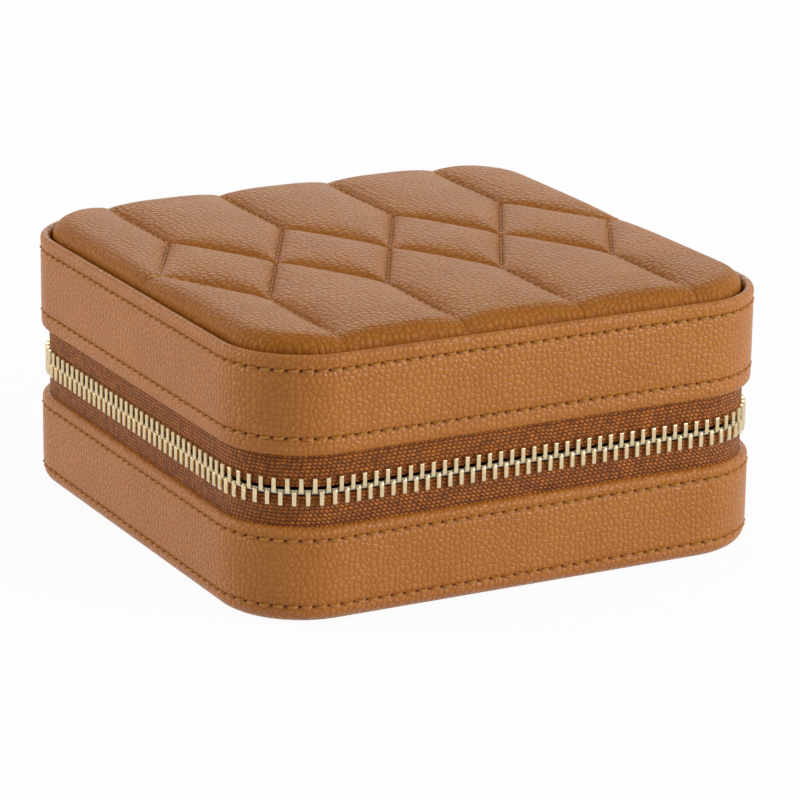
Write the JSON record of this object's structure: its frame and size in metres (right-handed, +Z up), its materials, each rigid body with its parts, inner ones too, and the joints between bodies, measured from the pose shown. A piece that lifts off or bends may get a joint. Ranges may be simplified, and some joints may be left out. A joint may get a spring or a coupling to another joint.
{
  "type": "zip jewellery case",
  "caption": "Square zip-round leather jewellery case with rounded corners, a quilted padded lid on a rear gusset, a metal zip, ring rolls, divided compartments and a mirror.",
  "frame": {"origin": "middle of the underside, on the surface that the case stands on", "axes": "+Z up, -Y the front, +Y the gusset that the lid folds on, +X the side that the zip slider runs on"},
  "size_m": [0.1335, 0.13, 0.0626],
  "materials": {
    "tan_leather": "pebbled caramel tan leather with a soft sheen",
    "quilted_leather": "padded pebbled leather, stitched in diamonds",
    "board": "grey-brown fibre board",
    "suede": "soft napped suede in pale tan",
    "zip_tape": "ribbed woven tape in red-brown",
    "zip_metal": "polished pale gold",
    "mirror_glass": "silvered glass"
  },
  "bodies": {
    "base": {"base_band": "tan_leather", "base_bottom_cover": "tan_leather", "base_shell": "board", "base_lining": "suede", "long_divider": "suede", "cross_divider": "suede", "ring_roll_1": "suede", "ring_roll_2": "suede", "ring_roll_3": "suede", "ring_roll_4": "suede", "ring_roll_5": "suede", "ring_roll_6": "suede", "lower_zip_tape": "zip_tape", "lower_zip_teeth": "zip_metal", "lower_zip_teeth_right": "zip_metal", "lower_top_stop": "zip_metal", "spine_lower_flap": "tan_leather"},
    "lid": {"lid_band": "tan_leather", "lid_shell": "board", "quilted_top": "quilted_leather", "lid_lining": "suede", "mirror": "mirror_glass", "mirror_frame": "suede", "upper_zip_tape": "zip_tape", "upper_zip_teeth": "zip_metal", "upper_zip_teeth_right": "zip_metal", "upper_top_stop": "zip_metal", "spine_upper_flap": "tan_leather"},
    "zip_slider": {"slider_body": "zip_metal"},
    "zip_pull": {"pull_tab": "zip_metal"}
  },
  "joints": [
    {"name": "lid_hinge", "type": "hinge", "parent": "base", "child": "lid", "pos_m": [0, 0.0632, 0.0293], "axis": [-1, 0, 0], "range_deg": [0, 135]},
    {"name": "zip_slide", "type": "slide", "parent": "base", "child": "zip_slider", "axis": [0, -1, 0], "range_m": [0, 0.072], "deforming": ["upper_zip_teeth_right", "lower_zip_teeth_right"]},
    {"name": "pull_hinge", "type": "hinge", "parent": "zip_slider", "child": "zip_pull", "pos_m": [0.06712, 0.036, 0.0293], "axis": [0, -1, 0], "range_deg": [0, 175]}
  ]
}
